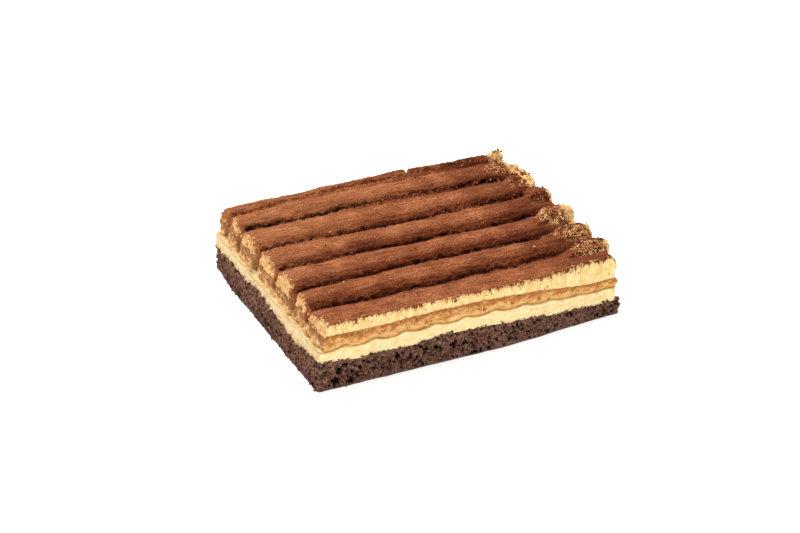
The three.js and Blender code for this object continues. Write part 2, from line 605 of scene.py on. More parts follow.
@dataclass(frozen=True)
class DustedBiscuit(Finish):
    """Ladyfinger biscuit: pale dry crumb, coffee-brown where soaked, under a velvety coat of cocoa powder."""

    name: str = "cocoa_dusted_ladyfinger"
    roughness: float = 0.92
    specular: float = 0.15
    depth: float = 0.35
    grain_size: float = 0.8
    drift_size: float = 2.2
    cloud_size: float = 13.0
    speck_size: float = 1.3
    fray_size: float = 2.4
    tooth_size: float = 0.9
    bite_size: float = 8.0
    lace_size: float = 1.5
    curl_size: float = 1.6
    group_size: float = 4.0
    crumb_size: float = 1.0
    streak_size: float = 3.0
    blot_size: float = 3.0
    dot_size: float = 1.8

    def _cocoa(self, node: Draw, place: Socket) -> Socket:
        """Makes the cocoa's colour: grainy red-brown powder, darker towards the right and in the grooves,
        where it lies thick and damp and shade is painted, with painted light towards the back left and
        painted shade on the front slopes and in the cracks.

        Args:
            node: adds a node to the material.
            place: the piece's object coordinates.

        Returns:
            The colour.
        """
        valley, groove, pit, light, seam = stored(node, "valley", "groove", "pit", "light", "seam")
        along = node("SeparateXYZ", None, (place,))
        long = node("Mapping", None, {"Vector": place, "Scale": (0.2, 1.0, 1.0)})
        grain = node("TexNoise", None, sized(place, self.grain_size, Detail=3.0, Roughness=0.7))
        drift = node("TexNoise", None, sized(long, self.drift_size, Detail=4.0))
        cloud = node("TexNoise", None, sized(place, self.cloud_size, Detail=2.0))
        drifted = node("Mix", NUMBERS, {0: 0.5, 2: drift, 3: cloud})
        grainy = node("Mix", NUMBERS, {0: 0.58, 2: drifted, 3: grain})
        powder = ((0.38, "#542510"), (0.46, "#804424"), (0.53, "#985632"), (0.64, "#c2845a"))
        speck = specks(node, place, self.speck_size, (0.74, 0.84), (0.3, 0.14, 0.9))
        deep = node("Math", SCALE_ADD, (pit, 0.35, groove))
        broken = node("Math", SCALE_ADD, (drift, 1.6, seam))
        return paint(
            node,
            node("ValToRGB", {"ramp": powder}, (grainy,)),
            # painted light: paler cocoa towards the back left, where the lamp stands
            (Lay.OVER, node("MapRange", None, (light, 0.0, 1.0, 0.0, 0.14)), "#c48556"),
            (Lay.OVER, speck, "#d9a273"),
            (Lay.TINT, (along, 40 * MM, 78 * MM, 0.0, 0.75), "#c0a898"),
            # painted shade on the slopes that face the front and beside the grooves
            (Lay.TINT, valley, "#b89880"),
            # darker in the grooves, where the cocoa lies thick and damp, and painted shade in the grooves and
            # pits
            (Lay.OVER, (deep, 0.7, 1.5, 0.0, 0.8), "#3a1a0d"),
            # painted shade: a nearly black line in the cracks
            (Lay.OVER, (broken, 1.25, 1.65, 0.0, 0.8), "#2a1209"),
        )

    def _crumb(self, node: Draw, place: Socket) -> Socket:
        """Makes the bare biscuit's colour: pale when dry, brown to golden when soaked, tan at the left, with
        painted shade on the left face and in the pores and a painted glint above the foot.

        Args:
            node: adds a node to the material.
            place: the piece's object coordinates.

        Returns:
            The colour.
        """
        soak, foot, level, left, slot, pit = stored(node, "soak", "foot", "level", "left", "slot", "pit")
        tall = node("Mapping", None, {"Vector": place, "Scale": (1.0, 1.0, 0.5)})
        flat = node("Mapping", None, {"Vector": place, "Scale": (0.6, 0.6, 1.0)})
        fine = node("TexNoise", None, sized(place, self.crumb_size, Detail=4.0, Roughness=0.65))
        streak = node("TexNoise", None, sized(tall, self.streak_size, Detail=4.0))
        blot = node("TexNoise", None, sized(flat, self.blot_size, Detail=5.0, Roughness=0.65))
        spread = node("MapRange", None, (left, 0.0, 1.0, 2.4, 11.0))
        lower = node("MapRange", None, (left, 0.0, 1.0, 0.0, 0.6))
        stray = node("Math", {"operation": "SUBTRACT"}, (blot, 0.5))
        line = node("Math", SCALE_ADD, (stray, spread, soak))
        above = node("Math", {"operation": "ADD"}, (line, lower))
        wet = node("MapRange", SOFT, (above, 0.5, -0.4))
        grainy = node("Math", SCALE_ADD, (fine, 1.8, level))
        uneven = node("Math", SCALE_ADD, (blot, 2.8, grainy))
        share = node("MapRange", None, (uneven, 2.3, 3.3))
        pale = ((0.3, "#ebb970"), (0.42, "#f4cd88"), (0.54, "#f8d996"), (0.68, "#fce4ac"))
        browns = ((0.0, "#ecc080"), (0.25, "#e2ac68"), (0.6, "#c28446"), (0.95, "#a56634"))
        tans = ((0.0, "#f0cd98"), (0.2, "#d0a370"), (0.55, "#a3744a"), (0.9, "#85582f"))
        coffee, tan = (node("ValToRGB", {"ramp": ramp}, (share,)) for ramp in (browns, tans))
        tide = node("MapRange", SOFT, (above, -1.3, -0.3))
        edge = node("MapRange", SOFT, (fine, 0.48, 0.6, 0.0, 0.8))
        mark = node("Math", TIMES, (node("Math", TIMES, (tide, edge)), wet))
        wobble = node("Math", SCALE_ADD, (fine, 1.4, foot))
        rise = node("MapRange", SOFT, (wobble, 1.5, 1.0, 0.0, 0.7))
        broken = node("MapRange", SOFT, (blot, 0.38, 0.54, 0.25))
        return paint(
            node,
            node("ValToRGB", {"ramp": pale}, (streak,)),
            # painted shade: the dry crumb is darker and greyer on the left face
            (Lay.TINT, left, "#decec6"),
            (Lay.OVER, wet, paint(node, coffee, (Lay.OVER, left, tan))),
            (Lay.OVER, mark, "#8a5226"),
            (Lay.OVER, (fine, 0.45, 0.32, 0.0, 0.5), "#a86f38"),
            (Lay.OVER, specks(node, place, self.dot_size, (0.56, 0.64), (0.24, 0.12, 0.75)), "#9a6734"),
            # a paler golden strip above the foot line, partly a painted glint
            (Lay.OVER, (wobble, 2.9, 1.8, 0.0, 0.5), "#e5b062"),
            (Lay.OVER, node("Math", TIMES, (rise, broken)), "#b87a38"),
            (Lay.OVER, (slot, 0.02, 0.5, 0.0, 0.85), "#8f6037"),
            # painted shade in the pores of the cut faces
            (Lay.OVER, (pit, 0.25, 0.9, 0.0, 0.85), "#8a5023"),
        )

    def _bare(self, node: Draw, place: Socket) -> Drawn:
        """Makes the masks of bare biscuit and of its toasted fringe.

        Args:
            node: adds a node to the material.
            place: the piece's object coordinates.

        Returns:
            Where the biscuit is bare, below the frayed rim of the cuts and on the torn tips, and its fringe.
        """
        rim, tip = stored(node, "rim", "tip")
        tall = node("Mapping", None, {"Vector": place, "Scale": (1.0, 1.0, 0.35)})
        ragged = rim
        for way, size, strength, more in (
            (tall, self.fray_size, 17.0, {"Detail": 4.0, "Roughness": 0.7}),
            (tall, self.tooth_size, 10.0, {"Detail": 2.0}),
            (place, self.bite_size, 8.0, {"Detail": 2.0}),
        ):
            noise = node("TexNoise", None, sized(way, size, **more))
            ragged = node("Math", SCALE_ADD, (noise, strength, ragged))
        cut = node("MapRange", SOFT, (ragged, 17.7, 18.7))
        fringe = node("MapRange", SOFT, (ragged, 20.8, 17.9, 0.0, 0.5))
        dust = node("TexNoise", None, sized(place, self.tooth_size, Detail=3.0, Roughness=0.6))
        settled = node("Math", SCALE_ADD, (rim, -0.03, dust))
        clear = node("Math", TIMES, (cut, node("MapRange", SOFT, (settled, 0.6, 0.5, 0.1))))
        lace = node("TexNoise", None, sized(place, self.lace_size, Detail=4.0, Roughness=0.7))
        torn = node("MapRange", SOFT, (node("Math", SCALE_ADD, (tip, 0.36, lace)), 0.7, 0.8))
        return node("Math", LARGER, (clear, torn)), fringe

    def _flecks(self, node: Draw, place: Socket) -> Drawn:
        """Makes the curly golden flecks where the knobs have shed their cocoa.

        Args:
            node: adds a node to the material.
            place: the piece's object coordinates.

        Returns:
            How much of them is seen, and their colour.
        """
        (end,) = stored(node, "end")
        curl = node("TexNoise", None, sized(place, self.curl_size, Detail=3.0, Distortion=1.6))
        group = node("TexNoise", None, sized(place, self.group_size, Detail=3.0))
        dense = node("Math", SCALE_ADD, (end, 0.2, curl))
        here = node("Math", SCALE_ADD, (group, 0.3, dense))
        golds = ((0.74, "#a86438"), (0.81, "#d8965a"), (0.89, "#f2c48c"), (1.0, "#fde1b4"))
        shed = node("MapRange", SOFT, (here, 0.73, 0.83))
        near = node("MapRange", SOFT, (end, 0.05, 0.25))
        return node("Math", TIMES, (shed, near)), node("ValToRGB", {"ramp": golds}, (here,))

    def draw(self, node: Draw, place: Socket) -> Drawn:
        """Lays the cocoa over the biscuit.

        Args:
            node: adds a node to the material.
            place: the piece's object coordinates.

        Returns:
            The colour and the height of the grain.
        """
        shown, gold = self._flecks(node, place)
        cocoa = paint(node, self._cocoa(node, place), (Lay.OVER, shown, gold))
        bare, fringe = self._bare(node, place)
        (tip,) = stored(node, "tip")
        toasted = node("Math", LARGER, (fringe, node("Math", TIMES, (tip, 0.35))))
        biscuit = paint(node, self._crumb(node, place), (Lay.OVER, toasted, "#d59c5e"))
        grain = node("TexNoise", None, sized(place, self.grain_size, Detail=3.0, Roughness=0.6))
        return paint(node, cocoa, (Lay.OVER, bare, biscuit)), grain


@dataclass(frozen=True)
class CrumbSkin(Finish):
    """Plain matte skin of loose crumbs, each with its own tone between a dark and a light one."""

    tones: tuple[str, str, str] = field(kw_only=True)
    roughness: float = 0.9
    specular: float = 0.15
    depth: float = 0.2
    grain_size: float = 0.4

    def draw(self, node: Draw, place: Socket) -> Drawn:
        """Colours each crumb by its stored tone."""
        colour = node("ValToRGB", {"ramp": tuple(zip((0.0, 0.45, 1.0), self.tones))}, stored(node, "tone"))
        return colour, node("TexNoise", None, sized(place, self.grain_size, Detail=2.0))


# The slab's plan


@dataclass(frozen=True)
class SlabPlan:
    """Outline and layer lines of the slab, as functions over it. Lengths are in mm.

    Attributes:
        front_recede: how far the front slants back by the right end, from recede_start on.
        back_recede: how far the back slants to the front there.
        sink: x where the layer lines begin and end to sink.
        base_line: height of the sponge's top at the left and at the right; the next two are alike.
        hump: height, middle and spread of the sponge's hump.
        swell: height, length and start of the sponge's wave along its left face.
        swell_fade: y where that wave begins and ends to fade.
        swell_reach: how far it goes in from the left face.
        ripple: height, length and first peak of the cream's crests along the front.
    """

    left: float
    right: float
    front: float
    back: float
    front_recede: float = 5.5
    back_recede: float = 4.0
    recede_start: float = 15.0
    sink: Pair = (5.0, 90.0)
    base_line: Pair = (16.8, 9.8)
    cream_line: Pair = (24.8, 17.9)
    soak_line: Pair = (34.4, 24.9)
    hump: Triple = (1.5, -15.0, 18.0)
    swell: Triple = (2.4, 95.0, -18.0)
    swell_fade: Pair = (15.0, 45.0)
    swell_reach: float = 30.0
    ripple: Triple = (1.6, 19.5, -83.0)

    def front_at(self, x: Array, inset: float = 0.0) -> Array:
        """Gives the front face's y at x, moved inwards by inset."""
        return self.front + inset + self.front_recede * smooth(self.recede_start, self.right, x)

    def back_at(self, x: Array, inset: float = 0.0) -> Array:
        """Gives the back face's y at x, moved inwards by inset."""
        return self.back - inset - self.back_recede * smooth(self.recede_start, self.right, x)

    def follow(self, x: Array, y: Array, inset: float = 0.0) -> Array:
        """Moves a y of the straight slab to where the slanting outline, moved inwards by inset, takes it."""
        across = (y - self.front) / (self.back - self.front)
        return self.front_at(x, inset) * (1.0 - across) + self.back_at(x, inset) * across

    def straighten(self, x: Array, y: Array) -> Array:
        """Gives the y of the straight slab that follow() takes to y."""
        near, far = self.front_at(x), self.back_at(x)
        return self.front + (y - near) / (far - near) * (self.back - self.front)

    def _line(self, ends: Pair, x: Array) -> Array:
        """Runs a layer line from its left height to its right height."""
        return ends[0] + (ends[1] - ends[0]) * smooth(*self.sink, x)

    def base_top(self, x: Array, y: Array) -> Array:
        """Gives the height of the line between sponge and cream.

        Args:
            x: places along the slab.
            y: places across it.

        Returns:
            The heights.
        """
        height, middle, spread = self.hump
        hump = height * bell(x - middle, spread) + 0.35 * np.sin(x / 5.1 + y / 6.3)
        rise, length, start = self.swell
        near_left = (1.0 - smooth(*self.swell_fade, y)) * (1.0 - smooth(0.0, self.swell_reach, x - self.left))
        swell = rise * np.sin(2.0 * math.pi * (y - start) / length) * near_left
        return self._line(self.base_line, x) + hump + swell

    def cream_top(self, x: Array, y: Array) -> Array:
        """Gives the height of the line between cream and biscuit, in narrow crests along the front.

        Args:
            x: places along the slab.
            y: places across it.

        Returns:
            The heights.
        """
        height, length, peak = self.ripple
        turn = 2.0 * math.pi / length
        fade = 1.0 - 0.65 * smooth(*self.sink, x)
        crests = (0.5 + 0.5 * np.cos(turn * (x - peak))) ** 2 - 0.375
        level = self._line(self.cream_line, x) + height * fade * crests
        return level + 0.55 * np.sin(y / 4.3 + 0.8) + 0.3 * np.sin(y / 2.2)

    def soak_top(self, x: Array, y: Array) -> Array:
        """Gives the height that the coffee has risen to."""
        return self._line(self.soak_line, x) + 0.5 * np.sin(x / 12.0 + 0.4) * np.cos(y / 21.0)


# Flat layers: sponge and cream


@dataclass
class FlatLayer:
    """A slab layer whose sides are finely meshed walls and whose top and bottom are plain caps.

    Attributes:
        plan: the slab's plan.
        name: the piece's name.
        finish: its material.
        insets: how far the layer stands back from the outline at left, right, front and back, in mm.
        step: mesh step on the walls, in mm.
        rows: how many steps the wall has upwards.
        corner: radius of the upright corners, in mm.
        ledge: widths in mm of the strips that frame the top cap, from the rim inwards.
        lean: how much further its left wall stands back at the top, in mm.
        skew: how far its left wall turns in towards the back corner, in mm.
        flare: how far its front wall stands out at the bottom, in mm.
        surface: where crumbs can lie, once a layer that carries some is built.
    """

    plan: SlabPlan
    name: str
    finish: Finish
    insets: tuple[float, float, float, float]
    step: float
    rows: int
    corner: float = 2.0
    ledge: Sequence[float] = (1.2, 2.0, 3.0)
    lean: float = 0.0
    skew: float = 0.0
    flare: float = 0.0
    surface: Surface | None = None

    def _sides(self) -> Pair:
        """Gives the slab's length and width."""
        return self.plan.right - self.plan.left, self.plan.back - self.plan.front

    def _ring(self) -> Piece:
        """Draws the layer's outline as a closed line of short edges.

        Returns:
            The outline, at a height of zero.
        """
        coarse = 10
        sides = self._sides()
        piece = add(bpy.ops.mesh.primitive_plane_add, size=1.0)
        piece.name = self.name
        piece.data.name = self.name
        with editing(piece):
            bpy.ops.transform.resize(value=(sides[0] * MM, sides[1] * MM, 1.0))
            bpy.ops.mesh.bevel(offset=self.corner * MM, segments=4, affect="VERTICES")
            bpy.ops.mesh.select_all(action="SELECT")
            bpy.ops.mesh.delete(type="ONLY_FACE")
        for axis, side in enumerate(sides):
            spans = np.abs(np.diff(places(piece)[edge_ends(piece), axis], axis=1))[:, 0]
            with editing(piece, "EDGE", spans > 0.5 * side):
                bpy.ops.mesh.subdivide(number_cuts=coarse - 1)
                bpy.ops.mesh.subdivide(number_cuts=max(1, round(side / self.step / coarse)) - 1)
        return piece

    def _raise(self, piece: Piece) -> None:
        """Extrudes the outline into a wall one metre high and closes it with caps.

        Args:
            piece: the outline.
        """
        with editing(piece, "EDGE"):
            for _ in range(self.rows):
                extrude((0.0, 0.0, 1.0 / self.rows))
            reach = 0.0
            for width in self.ledge:
                extrude()
                shrink = [(side - reach - 2.0 * width) / (side - reach) for side in self._sides()]
                bpy.ops.transform.resize(value=(*shrink, 1.0), center_override=(0.0, 0.0, 1.0))
                reach += 2.0 * width
            bpy.ops.mesh.edge_face_add()
        low = vectors(piece.data.vertices, "co")[:, 2] < 0.5 / self.rows
        with editing(piece, "EDGE", low[edge_ends(piece)].all(axis=1)):
            bpy.ops.mesh.edge_face_add()
            bpy.ops.mesh.select_all(action="SELECT")
            bpy.ops.mesh.normals_make_consistent(inside=False)

    def bottom(self, x: Array, y: Array) -> Array:
        """Gives the height of the layer's underside."""
        raise NotImplementedError

    def top(self, x: Array, y: Array) -> Array:
        """Gives the height of the layer's upper side."""
        raise NotImplementedError

    def _bend(self, piece: Piece) -> Array:
        """Bends the plain wall to the slab's outline and layer lines.

        Args:
            piece: the wall, one metre high.

        Returns:
            Each vertex's share of the layer's height.
        """
        plan = self.plan
        left, right, front, back = self.insets
        x, y, _ = places(piece).T
        share = vectors(piece.data.vertices, "co")[:, 2]
        across = (y - plan.front) / (plan.back - plan.front)
        along = (x - plan.left) / (plan.right - plan.left)
        turned = left + self.lean * share + self.skew * smooth(0.8, 1.0, across)
        x = (plan.left + turned) * (1.0 - along) + (plan.right - right) * along
        near = plan.front_at(x, front) - self.flare * (1.0 - share)
        y = near * (1.0 - across) + plan.back_at(x, back) * across
        z = self.bottom(x, y) * (1.0 - share) + self.top(x, y) * share
        move(piece, np.column_stack((x, y, z)))
        return share

    def _wall_weights(self, piece: Piece) -> Array:
        """Weighs each vertex by how much it belongs to an upright wall."""
        return smooth(0.25, 0.75, np.hypot(*normals_of(piece)[:, :2].T))

    def _carve(self, piece: Piece, share: Array) -> None:
        """Gives the walls their relief."""
        raise NotImplementedError

    def build(self) -> Piece:
        """Models and dresses the layer.

        Returns:
            The finished piece.
        """
        piece = self._ring()
        self._raise(piece)
        self._carve(piece, self._bend(piece))
        activate(piece)
        bpy.ops.object.shade_smooth()
        self.finish.dress(piece)
        return piece


@dataclass
class SpongeLayer(FlatLayer):
    """The dark cocoa sponge at the bottom, open-pored on its cut sides."""

    swell: Relief = Relief(grain=11.0, height=0.9, detail=1)
    crumb: Relief = Relief(grain=2.8, height=1.7, place=40.0)
    grit: Relief = Relief(grain=1.2, height=0.8, detail=1, place=65.0)
    holes: Relief = Relief(grain=4.8, height=-3.0, window=(0.6, 0.7), middle=0.0, place=90.0)
    pores: Relief = Relief(grain=1.7, height=-1.8, detail=1, window=(0.56, 0.68), middle=0.0, place=140.0)
    deepest: float = 2.6
    undercut: float = 0.3
    foot_height: float = 0.7
    ledge_width: float = 2.0

    def bottom(self, x: Array, y: Array) -> Array:
        """Gives the flat underside."""
        return np.zeros_like(x)

    def top(self, x: Array, y: Array) -> Array:
        """Gives the line under the cream."""
        return self.plan.base_top(x, y)

    def _carve(self, piece: Piece, share: Array) -> None:
        """Tears the walls into crumb, holes and pores, and keeps the foot on the ground.

        Args:
            piece: the bent layer.
            share: each vertex's share of its height.
        """
        walls = self._wall_weights(piece)
        self.swell.press(piece, weigh(piece, "walls", walls))
        before = places(piece)
        normals = normals_of(piece)
        left = smooth(0.5, 0.9, -normals[:, 0])
        group = weigh(piece, "crumbly", walls * smooth(-0.12 * left, 0.11, share))
        for relief in (self.crumb, self.grit, self.holes, self.pores):
            relief.press(piece, group)
        points = places(piece)
        pit = np.clip(sunk(before, points, normals) / self.deepest, -1.0, 1.0)
        foot = (1.0 - smooth(0.0, self.foot_height, points[:, 2])) ** 1.5
        points[:, :2] -= (self.undercut * foot)[:, None] * normals[:, :2]
        points[:, 2] = np.maximum(points[:, 2], 0.0)
        points[share <= 0.0, 2] = 0.0
        move(piece, points)
        store(piece, pit=pit, height=points[:, 2], left=left)
        weights = {
            "walls": walls * smooth(0.05, 0.2, share),
            "ledge": smooth(0.5, 0.9, normals[:, 2]) * (points[:, 0] < self.plan.left + self.ledge_width),
            "foot": walls * (0.1 + left) * (1.0 - smooth(0.04, 0.16, share)),
        }
        self.surface = Surface(places(piece), normals_of(piece), weights)


@dataclass
class CreamLayer(FlatLayer):
    """The band of cream, smoothed by the knife on its sides."""

    overlap: float = 0.8
    drag: Relief = Relief(grain=2.2, height=0.35, stretch=(5.0, 5.0, 1.0))
    bubbles: Relief = Relief(grain=2.6, height=-0.9, detail=0, window=(0.7, 0.82), middle=0.0, place=60.0)
    smear: Relief = Relief(grain=3.0, height=2.2, place=75.0)

    def bottom(self, x: Array, y: Array) -> Array:
        """Gives the underside, pressed a little into the sponge."""
        return self.plan.base_top(x, y) - self.overlap

    def top(self, x: Array, y: Array) -> Array:
        """Gives the line under the biscuit."""
        return self.plan.cream_top(x, y)

    def _carve(self, piece: Piece, share: Array) -> None:
        """Drags faint streaks along the walls, pricks a few bubbles and smears the left foot.

        Args:
            piece: the bent layer.
            share: each vertex's share of its height.
        """
        group = weigh(piece, "walls", self._wall_weights(piece))
        before = places(piece)
        normals = normals_of(piece)
        left = smooth(0.5, 0.9, -normals[:, 0])
        self.drag.press(piece, group)
        self.bubbles.press(piece, group)
        self.smear.press(piece, weigh(piece, "smeared", left * (1.0 - smooth(0.15, 0.7, share))))
        points = places(piece)
        x, y, z = points.T
        pit = np.clip(sunk(before, points, normals), -1.0, 1.0)
        under = self.plan.cream_top(x, y) - z
        store(piece, pit=pit, under=under, left=left, ledge=smooth(0.5, 0.9, normals[:, 2]))


# The biscuit sheet


@dataclass(frozen=True)
class Finger:
    """One piped ridge of the sheet. Lengths are in mm.

    Attributes:
        crest: height of its top.
        start: x where it was cut on the left.
        tip: x of its blunt right end.
        bare: length of its right end that has lost its cocoa.
        overlap: how far it runs into its neighbours, as a share of its width.
        sag: how much lower its crest is on the right.
        shade: how much painted shade its front slope gets, 0 to 1.
    """

    crest: float
    start: float
    tip: float
    bare: float
    overlap: float
    sag: float
    shade: float


@dataclass(frozen=True)
class Knob:
    """A thick lump of batter on a ridge or in a groove. Lengths are in mm.

    Attributes:
        place: its middle.
        radii: its half lengths along x, y and z.
        rough: how far its corners stray.
        seed: seed of the straying.
        bare: how much of its cocoa it has lost, 0 to 1.
        pale: how much of its crumb is laid open, 0 to 1.
    """

    place: Triple
    radii: Triple
    rough: float
    seed: int
    bare: float = 0.0
    pale: float = 0.0

    def model(self) -> Piece:
        """Models the lump.

        Returns:
            The lump as a closed body.
        """
        piece = add(
            bpy.ops.mesh.primitive_ico_sphere_add,
            subdivisions=3,
            radius=1.0,
            location=Vector(self.place) * MM,
        )
        piece.scale = Vector(self.radii) * MM
        bpy.ops.object.transform_apply(location=True, rotation=True, scale=True)
        with editing(piece):
            bpy.ops.transform.vertex_random(offset=self.rough * MM, normal=0.7, seed=self.seed)
        return piece


@dataclass
class BiscuitSheet:
    """The sheet of fused ladyfingers: extruded ridges, fused by a voxel remesh, roughened and parted again.

    Attributes:
        plan: the slab's plan.
        fingers: the ridges from the front to the back.
        knobs: the lumps of batter on them.
        finish: the material.
        grooves: y of the grooves between the ridges at the slab's middle.
        tilts: how far each groove runs to the back over 100 mm.
        wander: how far a groove strays from its line.
        swing: how far the grooves turn to the front at the right end, from swing_start on.
        back_width: width that the back ridge had before it was cut.
        rise: height of a ridge's upper half, from its widest line to its crest.
        fullness: exponent of that half's curve, where 2 is an ellipse and more is flatter on top.
        drop: depth of its lower half.
        sag_span: x where a ridge begins and ends to sag.
        web: lowest and highest z of the biscuit between the ridges, and how far it stops before the right.
        voxel: mesh step of the fused sheet.
        side_inset: how far the sheet stands back from the slab's outline.
        skin: thickness of the outer strip that parts the soaked band off, at the sides, left and right.
        nick: x, first y, depth and width of the nick in the back ridge.
        slot_depths: how far each groove is open downwards on the left face, from the front to the back.
        slot_reach: how far those openings go in.
        rim_width: width of the rounded left rim, which is rim_drop lower at the cut and bare for rim_bare.
        rim_heights: heights between which that drop grows.
        nick_heights: heights between which the nick grows.
        facing: how much a normal has to look out of a cut face to begin and to fully count as part of it.
        face_depths: how far inside a vertex of the long cuts and of the left face may lie.
        groove_width: half width of a groove's darker line, of thick damp cocoa and painted shade.
        valley_width: half width of a groove's shaded slopes.
        seam: half width of the cracks and of the painted shade in them, and how far behind the grooves' lines
            they run.
        seam_start: how far from the left face the cracks begin and are full.
        top_heights: heights between which the top begins.
        light_span: y less x where the painted light that pales the cocoa begins and is full.
        cut_reach: how far behind a cut face its skin is measured from the face's rim.
        rim_reach: how far behind a cut face its rim is looked for.
        tip_rim: height of the rim under the blunt tips, which is tip_drop lower at the start of tip_span.
        lean: how far the left face leans back at its top.
        lean_heights: heights between which it leans, over lean_reach from the face.
        bulge: how far the soaked part stands out at the right end, over bulge_span.
        surface: where crumbs can lie, once it is built.
    """

    plan: SlabPlan
    fingers: Sequence[Finger]
    knobs: Sequence[Knob]
    finish: Finish = DustedBiscuit()
    grooves: Sequence[float] = (-54.0, -30.3, -4.6, 22.2, 50.2, 74.5)
    tilts: Sequence[float] = (-0.5, 0.8, 0.8, -0.4, -2.0, 2.0)
    wander: float = 1.1
    swing: float = 2.5
    swing_start: float = 55.0
    back_width: float = 19.0
    rise: float = 11.0
    fullness: float = 2.35
    drop: float = 17.0
    sag_span: Pair = (-60.0, 35.0)
    section_points: int = 48
    stations: int = 40
    tip_length: float = 5.0
    tip_stations: int = 8
    tip_end: float = 0.985
    web: Triple = (13.5, 35.0, 0.8)
    voxel: float = 0.52
    side_inset: float = 0.8
    left_face: float = -96.0
    skin: Triple = (3.2, 6.5, 12.0)
    nick: tuple[float, float, float, float] = (32.2, 75.5, 3.8, 0.8)
    slot_depths: Sequence[float] = (4.0, 7.0, 8.0, 11.0, 9.0, 14.0)
    slot_width: float = 3.0
    slot_reach: float = 3.4
    rim_width: float = 3.6
    rim_drop: float = 2.2
    rim_bare: float = 1.6
    rim_heights: Pair = (33.0, 38.0)
    nick_heights: Pair = (30.0, 39.0)
    facing: Pair = (0.45, 0.8)
    face_depths: Pair = (2.5, 4.5)
    groove_width: float = 2.4
    valley_width: float = 5.5
    seam: Pair = (1.0, 0.9)
    seam_start: Pair = (2.0, 6.0)
    top_heights: Pair = (27.0, 32.0)
    light_span: Pair = (10.0, 110.0)
    cut_reach: float = 4.0
    rim_reach: float = 1.6
    tip_rim: float = 35.5
    tip_drop: float = 8.0
    tip_span: Pair = (86.0, 95.0)
    lean: float = 2.0
    lean_heights: Pair = (24.0, 40.0)
    lean_reach: float = 14.0
    bulge: float = 1.5
    bulge_span: Pair = (82.0, 97.0)
    unevenness: Relief = Relief(grain=16.0, height=0.8, detail=1, place=15.0)
    lumps: Relief = Relief(grain=5.0, height=0.85, place=22.0)
    wrinkles: Relief = Relief(grain=2.2, height=0.65, stretch=(6.0, 1.0, 1.0), place=30.0)
    powder: Relief = Relief(grain=1.2, height=0.4, place=55.0)
    beads: Relief = Relief(grain=1.9, height=2.3, place=62.0)
    nibs: Relief = Relief(grain=2.3, height=1.1, place=66.0)
    crack: Relief = Relief(grain=3.4, height=-3.2, window=(0.36, 0.6), middle=0.0, place=70.0)
    knife: Relief = Relief(grain=1.3, height=0.4, stretch=(1.0, 1.0, 4.0), place=85.0)
    pores: Relief = Relief(grain=1.7, height=-1.2, detail=1, window=(0.66, 0.78), middle=0.0, place=100.0)
    crumble: Relief = Relief(grain=2.4, height=0.9, place=120.0)
    tatters: Relief = Relief(grain=2.4, height=2.0, detail=3, place=128.0)
    torn: Relief = Relief(grain=4.2, height=2.2, stretch=(1.0, 1.0, 1.4), place=135.0)
    surface: Surface | None = None

    def groove_at(self, index: int, x: Array) -> Array:
        """Gives the y of a groove, which wanders a little and swings to the front on the right.

        Args:
            index: the groove, counted from 0 at the front.
            x: places along the slab.

        Returns:
            The places across the slab.
        """
        stray = self.wander * (np.sin(x / 31.0 + 1.7 * index) + 0.5 * np.sin(x / 8.3 + 2.9 * index))
        turned = self.tilts[index] * x / 100.0 - self.swing * smooth(self.swing_start, self.plan.right, x)
        return self.grooves[index] + stray + turned

    def sides_at(self, number: int, x: Array) -> tuple[Array, Array]:
        """Gives the y of both sides of a ridge.

        Args:
            number: the ridge, counted from 0 at the front.
            x: places along the slab.

        Returns:
            The front and the back side; the outermost ones lie outside the slab.
        """
        if number == 0:
            front = 2.0 * self.plan.front_at(x) - self.groove_at(0, x)
        else:
            front = self.groove_at(number - 1, x)
        if number == len(self.grooves):
            return front, front + self.back_width
        return front, self.groove_at(number, x)

    def number_at(self, x: Array, y: Array) -> Array:
        """Gives the number of the ridge that each place lies on."""
        return sum((y > self.groove_at(index, x)).astype(int) for index in range(len(self.grooves)))

    def _girth(self, x: float, finger: Finger) -> Pair:
        """Gives a ridge's scale and rise at x, with its blunt tip and its sag to the right.

        Args:
            x: place along the slab.
            finger: the ridge's sizes.

        Returns:
            The scale, and the rise in mm.
        """
        past = max(0.0, (x - finger.tip + self.tip_length) / self.tip_length)
        blunt = (1.0 - min(past, self.tip_end) ** 2.8) ** (1.0 / 2.4)
        uneven = 0.15 * math.sin(x / 8.0 + finger.tip) + 0.2 * math.sin(x / 21.0 - finger.tip)
        return blunt, uneven - finger.sag * float(smooth(*self.sag_span, x))

